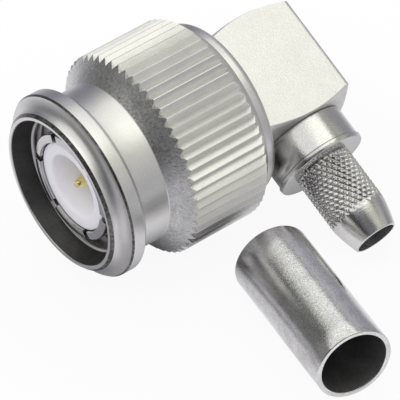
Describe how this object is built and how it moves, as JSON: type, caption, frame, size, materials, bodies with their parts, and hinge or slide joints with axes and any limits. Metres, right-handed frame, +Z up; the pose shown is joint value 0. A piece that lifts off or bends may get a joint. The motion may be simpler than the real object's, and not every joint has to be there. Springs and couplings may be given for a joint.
{
  "type": "tnc connector",
  "caption": "Right-angle threaded coaxial plug with a knurled coupling nut, square body and crimp stem, and its separate crimp ferrule.",
  "frame": {"origin": "centre of the bounding box at the surface the part lies on", "axes": "+Y runs back along the coupling nut's axis, so the mouth faces -Y; +X is the side the crimp stem and the ferrule point to; +Z is up as the part lies"},
  "size_m": [0.0308, 0.0218, 0.0154],
  "materials": {
    "satin_nickel": "satin nickel plate on brass",
    "bright_nickel": "tumbled bright nickel plate on brass and copper",
    "contact_nickel": "turned nickel plate on brass",
    "gold_plate": "gold plate",
    "ptfe": "waxy white PTFE",
    "silicone": "matt silicone rubber",
    "spring_bronze": "spring bronze"
  },
  "bodies": {
    "plug": {"outer_contact": "contact_nickel", "snap_ring": "spring_bronze", "gasket": "silicone", "front_insulator": "ptfe", "center_pin": "gold_plate", "rear_insulator": "ptfe", "body_block": "satin_nickel", "rear_cap": "satin_nickel", "crimp_stem": "bright_nickel", "crimp_ferrule": "bright_nickel"},
    "nut": {"coupling_nut": "satin_nickel"}
  },
  "joints": [
    {"name": "nut_turn", "type": "hinge", "parent": "plug", "child": "nut", "pos_m": [-0.00768, 0, 0.00772], "axis": [0, 1, 0], "continuous": true}
  ]
}
